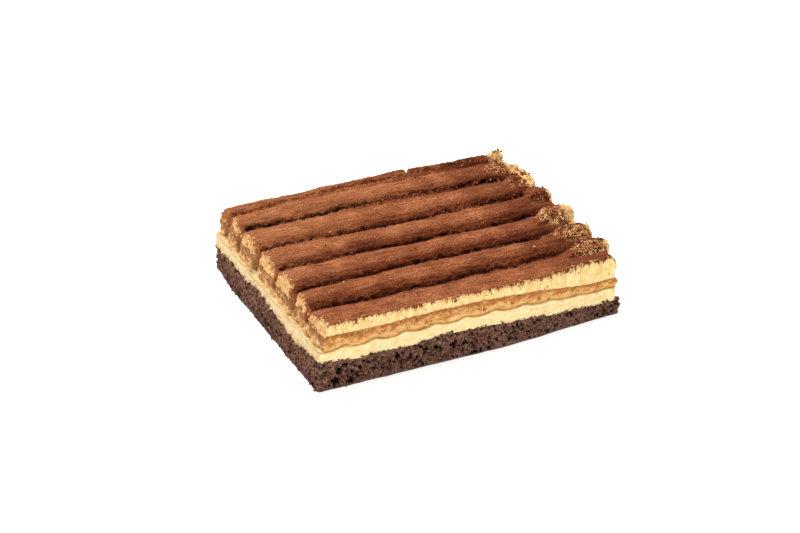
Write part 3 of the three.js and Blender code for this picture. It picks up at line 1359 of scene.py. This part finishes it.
    def _extrude_finger(self, number: int, finger: Finger) -> Piece:
        """Extrudes one ridge's section along its way from the left cut to its blunt tip.

        Args:
            number: the ridge, counted from 0 at the front.
            finger: its sizes.

        Returns:
            The ridge as a closed body.
        """
        run = np.linspace(finger.start - 4.0, finger.tip - self.tip_length, self.stations)
        shares = np.linspace(0.0, self.tip_end, self.tip_stations + 1)[1:]
        nose = finger.tip - self.tip_length * (1.0 - shares**0.7)
        piece = add(
            bpy.ops.mesh.primitive_circle_add,
            vertices=self.section_points,
            radius=MM,
            fill_type="NGON",
            rotation=(0.0, math.pi / 2, 0.0),
        )
        bpy.ops.object.transform_apply(location=True, rotation=True, scale=True)
        points = places(piece)
        across = np.clip(np.abs(points[:, 1]), 0.0, 1.0)
        full = (1.0 - across**self.fullness) ** (1.0 / self.fullness)
        points[:, 2] = np.where(points[:, 2] > 0.0, full * self.rise, points[:, 2] * self.drop)
        move(piece, points)
        place = Vector((0.0, 0.0, 0.0))
        width, girth = 1.0, 1.0
        with editing(piece, "FACE"):
            for step, x in enumerate(np.concatenate((run, nose))):
                front, back = (float(self.plan.straighten(x, side)) for side in self.sides_at(number, x))
                blunt, raised = self._girth(float(x), finger)
                goal = Vector((x, 0.5 * (front + back), finger.crest - self.rise + raised)) * MM
                if step == 0:
                    bpy.ops.transform.translate(value=goal)
                else:
                    extrude(goal - place)
                new_width = 0.5 * (back - front) * (1.0 + finger.overlap) * blunt
                bpy.ops.transform.resize(value=(1.0, new_width / width, blunt / girth), center_override=goal)
                place, width, girth = goal, new_width, blunt
            bpy.ops.mesh.select_all(action="SELECT")
            bpy.ops.mesh.normals_make_consistent(inside=False)
        self._trim(piece, finger.start)
        return piece

    def _trim(self, piece: Piece, start: float) -> None:
        """Cuts a body at the left and along the straight front and back of the slab.

        Args:
            piece: the body to cut.
            start: x of the left cut in mm.
        """
        cuts = (
            ((start, 0.0), (-1.0, 0.0)),
            ((0.0, self.plan.front), (0.0, -1.0)),
            ((0.0, self.plan.back), (0.0, 1.0)),
        )
        with editing(piece):
            for (x, y), way in cuts:
                bpy.ops.mesh.select_all(action="SELECT")
                bpy.ops.mesh.bisect(
                    plane_co=(x * MM, y * MM, 0.0), plane_no=(*way, 0.0), use_fill=True, clear_outer=True
                )

    def _web(self) -> Piece:
        """Makes the flat biscuit between and under the ridges.

        Returns:
            The web as a closed body.
        """
        plan = self.plan
        low, high, short = self.web
        starts = np.array((self.left_face, plan.front, low))
        ends = np.array((plan.right - short, plan.back, high))
        piece = add(bpy.ops.mesh.primitive_cube_add, size=1.0, location=Vector(0.5 * (ends + starts)) * MM)
        piece.scale = Vector(ends - starts) * MM
        bpy.ops.object.transform_apply(location=True, rotation=True, scale=True)
        return piece

    def _fuse(self) -> Piece:
        """Joins ridges, lumps and web, fuses them into one skin and bends it to the slab's outline.

        Returns:
            The fused sheet.
        """
        bodies = [self._extrude_finger(number, finger) for number, finger in enumerate(self.fingers)]
        lumps = [knob.model() for knob in self.knobs]
        for lump in lumps:
            self._trim(lump, self.left_face)
        piece = self._web()
        activate(piece)
        for body in (*bodies, *lumps):
            body.select_set(True)
        bpy.ops.object.join()
        apply(piece, "REMESH", mode="VOXEL", voxel_size=self.voxel * MM)
        apply(piece, "SMOOTH", factor=0.5, iterations=3)
        points = places(piece)
        points[:, 1] = self.plan.follow(points[:, 0], points[:, 1], self.side_inset)
        move(piece, points)
        self._merge_underside(piece)
        return piece

    def _merge_underside(self, piece: Piece, depth: float = 2.2) -> None:
        """Merges the hidden underside into one face.

        Args:
            piece: the fused sheet.
            depth: how deep in the cream the merged faces lie at least, in mm.
        """
        x, y, z = face_middles(piece)
        with editing(piece, "FACE", z < self.plan.cream_top(x, y) - depth):
            bpy.ops.mesh.delete(type="FACE")
            bpy.ops.mesh.select_mode(type="EDGE")
            bpy.ops.mesh.select_non_manifold()
            bpy.ops.mesh.edge_face_add()

    def _inside(self, x: Array, y: Array) -> tuple[Array, Array]:
        """Gives how far places lie inside the sheet's front and back."""
        return y - self.plan.front_at(x, self.side_inset), self.plan.back_at(x, self.side_inset) - y

    def _number_faces(self, piece: Piece) -> None:
        """Notes for each face whether it is soaked (0) or which ridge it belongs to (1 and up).

        Args:
            piece: the fused sheet.
        """
        mesh = piece.data
        plan = self.plan
        x, y, z = face_middles(piece)
        at_sides, at_left, at_right = self.skin
        outer = (np.minimum(*self._inside(x, y)) < at_sides) | (x - self.left_face < at_left)
        outer |= plan.right - x < at_right
        soaked = (outer | (z < plan.cream_top(x, y))) & (z < plan.soak_top(x, y))
        numbers = np.where(soaked, 0, 1 + self.number_at(x, y)).astype(np.int32)
        edges = np.empty(len(mesh.loops), dtype=np.int32)
        mesh.loops.foreach_get("edge_index", edges)
        corners = np.empty(len(mesh.polygons), dtype=np.int32)
        mesh.polygons.foreach_get("loop_total", corners)
        owners = np.repeat(np.arange(len(corners)), corners)
        pairs = owners[np.argsort(edges, kind="stable")].reshape(-1, 2)
        for _ in range(4):
            alike = numbers[pairs[:, 0]] == numbers[pairs[:, 1]]
            lonely = np.bincount(pairs[alike].ravel(), minlength=len(numbers)) < 2
            for one, other in (pairs[~alike].T, pairs[~alike].T[::-1]):
                numbers[one[lonely[one]]] = numbers[other[lonely[one]]]
        mesh.attributes.new("number", "INT", "FACE").data.foreach_set("value", numbers)

    def _slots(self, x: Array, y: Array, z: Array) -> Array:
        """Weighs places by how much they lie in the open grooves on the left face.

        Args:
            x: places along the slab.
            y: places across it.
            z: their heights.

        Returns:
            The weights, 0 to 1.
        """
        weight = np.zeros_like(x)
        for index, depth in enumerate(self.slot_depths):
            end = self.fingers[index + 1].crest - 0.72 * self.rise - depth
            near = bell(y - self.groove_at(index, x), self.slot_width)
            weight = np.maximum(weight, near * smooth(end - 2.0, end + 1.0, z))
        return weight * (1.0 - smooth(0.0, self.slot_reach + 1.5, x - self.left_face))

    def _shape_cuts(self, piece: Piece) -> Array:
        """Opens the grooves on the left face, rounds the left rim and nicks the back ridge.

        Args:
            piece: the fused sheet.

        Returns:
            How much each vertex lies in the open grooves.
        """
        points = places(piece)
        slots = self._slots(*points.T)
        points[:, 0] += self.slot_reach * slots
        outwards = 1.0 - smooth(0.0, self.rim_width, points[:, 0] - self.left_face)
        points[:, 2] -= self.rim_drop * outwards**2 * smooth(*self.rim_heights, points[:, 2])
        x, first, depth, width = self.nick
        nicked = bell(points[:, 0] - x, width) * smooth(first, first + 2.0, points[:, 1])
        points[:, 2] -= depth * nicked * smooth(*self.nick_heights, points[:, 2])
        move(piece, points)
        return slots

    def _regions(self, piece: Piece) -> dict[str, Array]:
        """Weighs each vertex by the part of the sheet that it lies on.

        Args:
            piece: the fused sheet.

        Returns:
            Weights by name: cut, left, end, tip, groove, edge, valley, light, seam and top.
        """
        points = places(piece)
        x, y, z = points.T
        normals = normals_of(piece)
        in_front, in_back = self._inside(x, y)
        at_sides, at_left = self.face_depths
        front = smooth(*self.facing, -normals[:, 1]) * (in_front < at_sides)
        back = smooth(*self.facing, normals[:, 1]) * (in_back < at_sides)
        left = smooth(*self.facing, -normals[:, 0]) * (x < self.left_face + at_left)
        cut = np.maximum(front, back)
        by_ridge = np.array([(finger.tip, finger.bare, finger.shade) for finger in self.fingers])
        tips, bare, shades = by_ridge[self.number_at(x, y)].T
        tip = 1.0 - smooth(0.3, 1.25, (tips - x) / bare)
        end = 0.4 * tip
        for knob in self.knobs:
            along, across, height = knob.place
            middle = np.array([along, self.plan.follow(along, across, self.side_inset), height])
            away = np.linalg.norm((points - middle) / knob.radii, axis=1)
            end = np.maximum(end, knob.bare * (1.0 - smooth(0.6, 1.4, away)))
            tip = np.maximum(tip, knob.pale * (1.0 - smooth(0.9, 1.5, away)))
        end *= 1.0 - 0.35 * smooth(0.75, 0.97, normals[:, 2])
        groove, seam, edge = np.zeros((3, len(x)))
        # painted shade on the slopes that face the front, as much as each ridge's shade
        valley = shades * smooth(0.1, 0.55, -normals[:, 1])
        # painted light towards the back left, where the lamp stands
        light = smooth(*self.light_span, y - x)
        seam_width, behind = self.seam
        for index in range(len(self.grooves)):
            away = y - self.groove_at(index, x)
            # the back groove gets a weaker dark line and painted shade; the front crack gets less painted
            # shade
            shade = 0.4 if index == len(self.grooves) - 1 else 1.0
            split = 0.7 if index == 0 else shade
            kink = 0.5 * np.sin(x / 2.9 + 2.1 * index) + 0.4 * np.sin(x / 1.3 + 1.3 * index)
            groove = np.maximum(groove, shade * bell(away, self.groove_width))
            edge = np.maximum(edge, bell(away, self.valley_width))
            # painted shade on the slopes beside the groove
            valley = np.maximum(valley, shade * bell(away, self.valley_width))
            # the cracks' line, set a little behind the groove, with their painted shade
            seam = np.maximum(seam, split * bell(away + kink - behind, seam_width))
        upper = (1.0 - np.maximum(cut, left)) * smooth(*self.top_heights, z)
        within = smooth(*self.seam_start, x - self.left_face) * (1.0 - smooth(0.2, 0.6, normals[:, 0]))
        return {
            "cut": cut,
            "left": left,
            "end": end * (1.0 - cut),
            "tip": tip * (1.0 - cut),
            "groove": groove * upper,
            "edge": edge * upper * (1.0 - end),
            # less painted shade where painted light falls
            "valley": valley * upper * (1.0 - 0.6 * light),
            "light": light,
            "seam": seam * upper * (1.0 - end) * within,
            "top": upper,
        }

    def _roughen(self, piece: Piece, regions: dict[str, Array]) -> None:
        """Presses every relief into its part of the sheet and stores how deep each vertex went.

        Args:
            piece: the fused sheet.
            regions: the weights of its parts.
        """
        before = places(piece)
        normals = normals_of(piece)
        work = (
            (self.lumps, "top"),
            (self.wrinkles, "top"),
            (self.powder, "top"),
            (self.nibs, "edge"),
            (self.beads, "groove"),
            (self.crack, "seam"),
            (self.knife, "cut"),
            (self.torn, "left"),
            (self.pores, "cut"),
            (self.pores, "left"),
            (self.crumble, "end"),
            (self.tatters, "tip"),
        )
        used = dict.fromkeys(name for _, name in work)
        groups = {name: weigh(piece, "on_" + name, regions[name]) for name in used}
        for relief, name in work:
            relief.press(piece, groups[name])
        store(piece, pit=np.clip(sunk(before, places(piece), normals), -2.0, 2.0))

    def _edge_heights(self, along: Array, z: Array, near: Array) -> Array:
        """Finds how high the sheet's rim is along a cut face.

        Args:
            along: each vertex's place along the face in mm.
            z: each vertex's height in mm.
            near: which vertices lie at the face.

        Returns:
            The rim's height at every vertex's place along the face.
        """
        width, reach = 1.2, 130.0
        bins = np.floor((along + reach) / width).astype(int)
        heights = np.full(bins.max() + 2, -np.inf)
        np.maximum.at(heights, bins[near], z[near])
        known = np.flatnonzero(np.isfinite(heights))
        heights = np.interp(np.arange(len(heights)), known, heights[known])
        return np.interp(along, (np.arange(len(heights)) + 0.5) * width - reach, heights)

    def _measure(self, piece: Piece, regions: dict[str, Array], slots: Array) -> None:
        """Stores what the finish reads: distances to the rim, the coffee line and the cream, in mm.

        Args:
            piece: the fused sheet.
            regions: the weights of its parts.
            slots: the weights of the open grooves on the left face.
        """
        x, y, z = places(piece).T
        in_front, in_back = self._inside(x, y)
        in_left = x - self.left_face
        rim = -np.minimum.reduce([in_front, in_back, in_left - self.rim_bare, np.full_like(x, 9.0)])
        faces = (
            (regions["cut"] * (in_front < self.cut_reach), x, in_front),
            (regions["cut"] * (in_back < self.cut_reach), x, in_back),
            (regions["left"], y, in_left),
        )
        for weight, along, inside in faces:
            below = self._edge_heights(along, z, inside < self.rim_reach) - z
            rim = np.where(weight > 0.4, np.maximum(below, rim), rim)
        under_tips = self.tip_rim - z - self.tip_drop * (1.0 - smooth(*self.tip_span, x))
        elsewhere = np.where(in_back < self.cut_reach, rim - 2.0, rim)
        rim = np.where(x > self.tip_span[0], np.maximum(rim, under_tips), elsewhere)
        dusty = regions["cut"] * (0.8 - 1.8 * smooth(-10.0, 45.0, x)) * (in_front < self.cut_reach)
        foot, soak = self.plan.cream_top(x, y), self.plan.soak_top(x, y)
        store(
            piece,
            rim=rim + dusty - 9.0 * slots * smooth(29.0, 37.0, z),
            soak=z - soak,
            foot=z - foot,
            level=(z - foot) / (soak - foot),
            slot=slots,
            **{name: regions[name] for name in ("left", "end", "tip", "groove", "valley", "light", "seam")},
        )

    def _settle(self, piece: Piece) -> None:
        """Leans the left face back towards its top and lets the soaked part bulge at the right end.

        Args:
            piece: the fused sheet.
        """
        points = places(piece)
        x, y, z = points.T
        at_face = 1.0 - smooth(0.0, self.lean_reach, x - self.left_face)
        lean = self.lean * smooth(*self.lean_heights, z) * at_face
        foot = self.plan.cream_top(x, y)
        share = np.clip((z - foot) / (self.plan.soak_top(x, y) - foot), 0.0, 1.0)
        points[:, 0] += lean + self.bulge * np.sin(math.pi * share) * smooth(*self.bulge_span, x)
        move(piece, points)

    def _part(self, piece: Piece) -> list[Piece]:
        """Parts the sheet into its soaked lower part and one piece for each ridge.

        Args:
            piece: the fused sheet.

        Returns:
            The soaked part, then the ridges from the front to the back.
        """
        skin = piece.data.attributes.new("skin", "FLOAT_VECTOR", "POINT")
        skin.data.foreach_set("vector", normals_of(piece).astype(np.float32).ravel())
        parts = []
        for number in range(1, len(self.fingers) + 1):
            numbers = np.empty(len(piece.data.polygons), dtype=np.int32)
            piece.data.attributes["number"].data.foreach_get("value", numbers)
            with editing(piece, "FACE", numbers == number):
                bpy.ops.mesh.separate(type="SELECTED")
            part = next(item for item in bpy.context.selected_objects if item is not piece)
            part.name = f"ladyfinger_ridge_{number}"
            parts.append(part)
        piece.name = "soaked_biscuit_band"
        for part in parts:
            self._close(part, depth=2.0)
        self._close(piece, depth=4.0)
        return [piece, *parts]

    def _close(self, part: Piece, depth: float, inwards: float = 1.5, from_right: float = 8.0) -> None:
        """Closes a parted piece inside the sheet and keeps the sheet's unbroken shading on it.

        Args:
            part: the piece, open where it was parted.
            depth: how far its new inner face lies below the coffee line, in mm.
            inwards: how far that face's rim lies behind the skin, in mm.
            from_right: how far it stays away from the right end, in mm.
        """
        mesh = part.data
        mesh.name = part.name
        with editing(part, "EDGE"):
            bpy.ops.mesh.select_all(action="DESELECT")
            bpy.ops.mesh.select_non_manifold()
            extrude()
        ring = np.empty(len(mesh.vertices), dtype=bool)
        mesh.vertices.foreach_get("select", ring)
        normals = vectors(mesh.attributes["skin"].data, "vector").astype(np.float32)
        points = places(part)
        points[ring] -= inwards * normals[ring]
        points[ring, 0] = np.minimum(points[ring, 0], self.plan.right - from_right)
        x, y, z = points[ring].T
        points[ring, 2] = np.minimum(z, self.plan.soak_top(x, y) - depth)
        move(part, points)
        bpy.ops.object.mode_set(mode="EDIT")
        bpy.ops.mesh.edge_face_add()
        bpy.ops.object.mode_set(mode="OBJECT")
        bpy.ops.object.shade_smooth()
        mesh.normals_split_custom_set_from_vertices(normals)
        for name in ("skin", "number"):
            mesh.attributes.remove(mesh.attributes[name])
        part.vertex_groups.clear()

    def build(self) -> list[Piece]:
        """Models and dresses the sheet.

        Returns:
            The soaked part, then the ridges from the front to the back.
        """
        piece = self._fuse()
        self._number_faces(piece)
        slots = self._shape_cuts(piece)
        self.unevenness.press(piece)
        regions = self._regions(piece)
        self._roughen(piece, regions)
        self._measure(piece, regions, slots)
        self._settle(piece)
        self.surface = Surface(places(piece), normals_of(piece), regions)
        parts = self._part(piece)
        self.finish.dress(*parts)
        return parts


# Loose crumbs


@dataclass
class CrumbScatter:
    """Loose crumbs of one kind, joined into one piece.

    Attributes:
        name: the piece's name.
        finish: its material.
        sizes: smallest and largest crumb in mm; small ones are more common.
        fineness: subdivisions of the spheres that the crumbs are modelled from.
        seed: seed of shapes and places.
        shapes: how many different crumbs there are.
        stray: how far the corners of a crumb of size 1 are moved.
        lift: how far a crumb's middle lies above the surface, as a share of its size.
        rarity: exponent that makes large crumbs rare.
        stretch: least and greatest stretch of a crumb along each of its axes.
        spots: places, normals and scale of each strewn lot.
        fixed: place and size of each crumb that is given one by one.
    """

    name: str
    finish: CrumbSkin
    sizes: Pair
    fineness: int
    seed: int
    shapes: int = 6
    stray: float = 0.3
    lift: float = 0.24
    rarity: float = 2.5
    stretch: Pair = (0.6, 1.3)
    spots: list[tuple[Array, Array, float]] = field(default_factory=list)
    fixed: list[tuple[Triple, float]] = field(default_factory=list)

    def strew(self, surface: Surface, weights: Array, count: int, scale: float = 1.0) -> None:
        """Picks places on a surface for crumbs.

        Args:
            surface: the surface that they lie on.
            weights: how likely each of its places is.
            count: how many crumbs to lay.
            scale: their size, as a share of the usual sizes.
        """
        generator = np.random.default_rng(self.seed + 100 * len(self.spots))
        chosen = generator.choice(len(weights), size=count, p=weights / weights.sum())
        self.spots.append((surface.points[chosen], surface.normals[chosen], scale))

    def _model_shapes(self) -> list[tuple[Array, Array]]:
        """Models a few crumbs from spheres whose corners are moved at random.

        Returns:
            Points and triangles of each crumb, about 1 across.
        """
        models = []
        for number in range(self.shapes):
            piece = add(bpy.ops.mesh.primitive_ico_sphere_add, subdivisions=self.fineness, radius=0.5)
            with editing(piece):
                bpy.ops.transform.vertex_random(offset=self.stray, normal=0.6, seed=self.seed + number)
            triangles = np.array([face.vertices[:] for face in piece.data.polygons])
            models.append((vectors(piece.data.vertices, "co"), triangles))
            bpy.data.objects.remove(piece)
        return models

    def build(self) -> Piece:
        """Joins all crumbs into one piece and dresses it.

        Returns:
            The finished piece.
        """
        generator = np.random.default_rng(self.seed)
        models = self._model_shapes()
        laid = np.array([place for place, _ in self.fixed]).reshape(-1, 3)
        middles = np.concatenate([points for points, _, _ in self.spots] + [laid])
        ups = np.concatenate([normals for _, normals, _ in self.spots] + [np.zeros_like(laid)])
        scales = np.concatenate([np.full(len(points), scale) for points, _, scale in self.spots])
        small, large = self.sizes
        sizes = scales * (small + (large - small) * generator.random(len(scales)) ** self.rarity)
        sizes = np.concatenate((sizes, [size for _, size in self.fixed]))
        points, triangles, tones = [], [], []
        start = 0
        for middle, up, size in zip(middles, ups, sizes):
            shape, faces = models[generator.integers(len(models))]
            turn, _ = np.linalg.qr(generator.normal(size=(3, 3)))
            turn *= np.sign(np.linalg.det(turn))
            stretched = shape * generator.uniform(*self.stretch, size=3)
            points.append(stretched @ turn.T * size + middle + up * size * self.lift)
            triangles.append(faces + start)
            tones.append(np.full(len(shape), generator.random()))
            start += len(shape)
        corners = np.concatenate(points)
        corners[:, 2] = np.maximum(corners[:, 2], 0.0)
        mesh = bpy.data.meshes.new(self.name)
        mesh.from_pydata((corners * MM).tolist(), [], np.concatenate(triangles).tolist())
        piece = bpy.data.objects.new(self.name, mesh)
        bpy.context.collection.objects.link(piece)
        store(piece, tone=np.concatenate(tones))
        self.finish.dress(piece)
        return piece


# Stage


@dataclass(frozen=True)
class Stage:
    """White floor, soft light all round and the photograph's camera. Lengths are in mm.

    Attributes:
        lens: focal length on a sensor of sensor_width.
        eye: the camera's place.
        azimuth: how far the view is turned from looking along +Y, in degrees.
        elevation: how far the camera looks down, in degrees.
        floor_white: how white the floor is.
        floor_glow: how much the floor shines by itself, as an overexposed one seems to.
        sky: strength of the light from all round.
        key_power: watts of the lamp above and behind.
    """

    lens: float = 110.0
    sensor_width: float = 36.0
    eye: Triple = (-566.4, -1184.6, 753.6)
    azimuth: float = -25.177
    elevation: float = 29.269
    floor_size: float = 6000.0
    floor_white: float = 0.93
    floor_glow: float = 0.5
    sky: float = 0.78
    key_power: float = 21.0
    key_size: float = 900.0
    key_place: Triple = (-330.0, 750.0, 1260.0)

    def floor(self) -> None:
        """Lays a white floor under the slab."""
        ground = add(bpy.ops.mesh.primitive_plane_add, size=self.floor_size * MM)
        ground.name = "floor"
        material = bpy.data.materials.new("white_paper")
        material.use_nodes = True
        inputs = {
            "Base Color": (self.floor_white, self.floor_white, self.floor_white, 1.0),
            "Roughness": 0.9,
            "Specular IOR Level": 0.0,
            "Emission Color": "#ffffff",
            "Emission Strength": self.floor_glow,
        }
        plug(material.node_tree, material.node_tree.nodes["Principled BSDF"], inputs)
        ground.data.materials.append(material)

    def light(self) -> None:
        """Lights the slab from all round, more from above and behind."""
        scene = bpy.context.scene
        world = bpy.data.worlds.new("studio")
        world.use_nodes = True
        tree = world.node_tree
        plug(tree, tree.nodes["Background"], {"Color": "#ffffff", "Strength": self.sky})
        scene.world = world
        scene.view_settings.view_transform = "Standard"
        key = add(bpy.ops.object.light_add, type="AREA", location=Vector(self.key_place) * MM)
        key.name = "key"
        key.data.size = self.key_size * MM
        key.data.energy = self.key_power
        key.rotation_euler = (-Vector(self.key_place)).to_track_quat("-Z", "Y").to_euler()

    def camera(self) -> None:
        """Sets the camera up where the photograph was taken."""
        camera = add(bpy.ops.object.camera_add, location=Vector(self.eye) * MM)
        camera.data.lens = self.lens
        camera.data.sensor_width = self.sensor_width
        camera.data.clip_start = 10.0 * MM
        camera.rotation_euler = (math.radians(90.0 - self.elevation), 0.0, math.radians(self.azimuth))
        bpy.context.scene.camera = camera


# Assembly


def plan_from_frame() -> SlabPlan:
    """Reads the slab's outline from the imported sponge."""
    low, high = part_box("base_sponge")
    return SlabPlan(left=low.x / MM, right=high.x / MM, front=low.y / MM, back=high.y / MM)


def piped_fingers() -> list[Finger]:
    """Lists the sheet's ridges from the front to the back.

    Returns:
        The ridges' sizes in mm.
    """
    crests = (42.0, 41.8, 42.4, 42.6, 42.2, 42.2, 40.9)
    starts = (-96.6, -95.2, -96.7, -95.1, -96.4, -94.8, -96.4)
    tips = (99.4, 99.8, 100.3, 99.4, 99.4, 98.2, 98.2)
    bares = (1.5, 1.5, 9.0, 4.0, 8.0, 8.0, 16.0)
    overlaps = (0.045, 0.045, 0.05, 0.05, 0.07, 0.1, 0.3)
    sags = (1.8, 1.8, 1.8, 1.8, 1.8, 1.5, -1.0)
    # painted shade on each ridge's front slope
    shades = (1.0, 0.75, 0.95, 1.0, 1.0, 0.7, 0.4)
    return [Finger(*row) for row in zip(crests, starts, tips, bares, overlaps, sags, shades)]


def piped_knobs() -> list[Knob]:
    """Lists the lumps of batter.

    Returns:
        The rises before the ridges' right ends, the lumps on those ends, then the fills of the grooves, each
        from the front to the back.
    """
    return [
        Knob((80.0, -66.0, 36.0), (15.0, 7.4, 5.0), 0.6, 51, 0.15),
        Knob((78.0, -43.4, 36.2), (17.0, 9.0, 5.2), 0.6, 53, 0.2),
        Knob((79.0, -18.2, 36.6), (17.0, 9.2, 5.2), 0.6, 55, 0.15),
        Knob((80.0, 9.0, 36.8), (16.0, 9.2, 5.2), 0.6, 57, 0.1),
        Knob((89.6, -64.5, 38.2), (12.6, 8.4, 6.6), 1.0, 3, 1.0),
        Knob((89.4, -41.2, 37.9), (13.0, 9.2, 6.2), 1.0, 5, 1.0),
        Knob((89.4, -16.8, 39.2), (13.0, 9.4, 6.4), 1.0, 8, 0.9),
        Knob((91.6, 12.4, 40.2), (9.0, 8.8, 5.6), 1.0, 13, 0.28),
        Knob((97.6, 9.5, 36.0), (3.0, 5.0, 4.2), 1.0, 43, 1.0),
        Knob((90.0, 39.5, 37.0), (9.6, 9.0, 5.4), 0.9, 17, 0.5),
        Knob((98.4, 39.0, 37.0), (3.6, 6.0, 3.4), 1.2, 45, 1.0, 1.0),
        Knob((99.0, 49.5, 36.6), (3.8, 6.5, 3.4), 1.2, 47, 1.0, 1.0),
        Knob((98.4, 58.5, 36.8), (3.4, 6.0, 3.4), 1.2, 49, 1.0, 1.0),
        Knob((87.0, 62.0, 37.0), (11.0, 8.0, 5.2), 0.9, 19, 0.65),
        Knob((92.5, 76.0, 40.6), (4.8, 4.6, 4.0), 1.4, 21, 1.0, 1.0),
        Knob((-72.0, -30.3, 33.2), (32.0, 5.0, 5.2), 0.7, 38),
        Knob((30.0, -30.5, 32.5), (36.0, 4.0, 4.2), 0.7, 31),
        Knob((-66.0, -4.6, 33.9), (40.0, 5.5, 5.6), 0.7, 36),
        Knob((35.0, -4.5, 32.5), (40.0, 4.0, 4.4), 0.7, 32),
        Knob((-66.0, 22.2, 33.9), (40.0, 5.5, 5.6), 0.7, 37),
        Knob((42.0, 22.5, 33.2), (24.0, 4.5, 5.0), 0.8, 33),
        Knob((-12.0, 50.2, 33.4), (96.0, 6.0, 5.8), 0.8, 34),
        Knob((-8.0, 75.5, 33.6), (102.0, 6.5, 6.2), 0.8, 35),
    ]


def place(piece: Piece, slot: str, *nodes: str) -> None:
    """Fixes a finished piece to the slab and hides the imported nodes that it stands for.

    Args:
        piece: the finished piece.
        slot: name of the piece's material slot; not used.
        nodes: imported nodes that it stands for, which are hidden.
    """
    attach(piece, BODY)
    if nodes:
        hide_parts(*nodes)
    log.info("%s: %d faces", piece.name, len(piece.data.polygons))


def main() -> None:
    """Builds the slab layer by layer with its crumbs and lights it."""
    logging.basicConfig(level=logging.INFO, format="%(name)s %(message)s")
    plan = plan_from_frame()
    stage = Stage()
    stage.camera()
    stage.floor()
    stage.light()

    base = SpongeLayer(
        plan,
        "base_sponge_crumb",
        CocoaSponge(),
        insets=(-0.9, -0.9, 0.1, 0.1),
        step=0.48,
        rows=34,
        skew=2.0,
        flare=1.6,
    )
    place(base.build(), "cocoa_sponge", "base_sponge")
    band = CreamLayer(
        plan, "cream_band", MascarponeCream(), insets=(0.9, 0.6, 0.15, 0.15), step=0.6, rows=14, lean=0.5
    )
    place(band.build(), "cream", "cream_layer")
    sheet = BiscuitSheet(plan, piped_fingers(), piped_knobs())
    soaked, *ridges = sheet.build()
    place(soaked, "soaked_biscuit", "soaked_biscuit")
    for ridge in ridges:
        place(ridge, "dusted_biscuit", "ladyfinger_ridges")

    sponge, biscuit = base.surface, sheet.surface
    skin = CrumbSkin("golden_biscuit_crumb", tones=("#a8683a", "#dba767", "#f6d79c"))
    golden = CrumbScatter("biscuit_crumbs", skin, sizes=(0.5, 1.5), fineness=2, seed=11)
    ends = np.maximum(biscuit.weights["end"], biscuit.weights["tip"])
    golden.strew(biscuit, np.where(ends > 0.45, ends, 0.0), 260)
    golden.strew(biscuit, biscuit.weights["left"], 60)
    golden.strew(biscuit, biscuit.weights["top"], 160, scale=0.6)
    golden.fixed.append(((59.0, -45.5, 40.6), 1.6))
    place(golden.build(), "dusted_biscuit")

    skin = CrumbSkin("cocoa_powder_clump", tones=("#4a2414", "#7d4528", "#a5643f"))
    clumps = CrumbScatter("cocoa_clumps", skin, sizes=(0.4, 1.7), fineness=1, seed=23)
    clumps.strew(biscuit, biscuit.weights["groove"] ** 2, 1800)
    clumps.strew(biscuit, biscuit.weights["top"], 150, scale=0.7)
    place(clumps.build(), "dusted_biscuit")

    skin = CrumbSkin("cocoa_sponge_bit", tones=("#2c1a14", "#5f3e32", "#8d6552"))
    rubble = CrumbScatter("sponge_crumbs", skin, sizes=(0.5, 1.8), fineness=2, seed=37)
    rubble.strew(sponge, sponge.weights["walls"], 800)
    rubble.strew(sponge, sponge.weights["ledge"], 140)
    rubble.strew(sponge, sponge.weights["foot"], 90, scale=0.85)
    rubble.fixed += [
        ((99.0, -75.2, 8.0), 4.0),
        ((101.4, -73.6, 7.6), 4.4),
        ((101.6, -74.2, 4.4), 4.2),
        ((101.8, -71.0, 5.6), 3.6),
        ((100.8, -75.6, 6.2), 3.0),
    ]
    place(rubble.build(), "cocoa_sponge")

    bpy.context.view_layer.update()


if __name__ == "__main__":
    main()
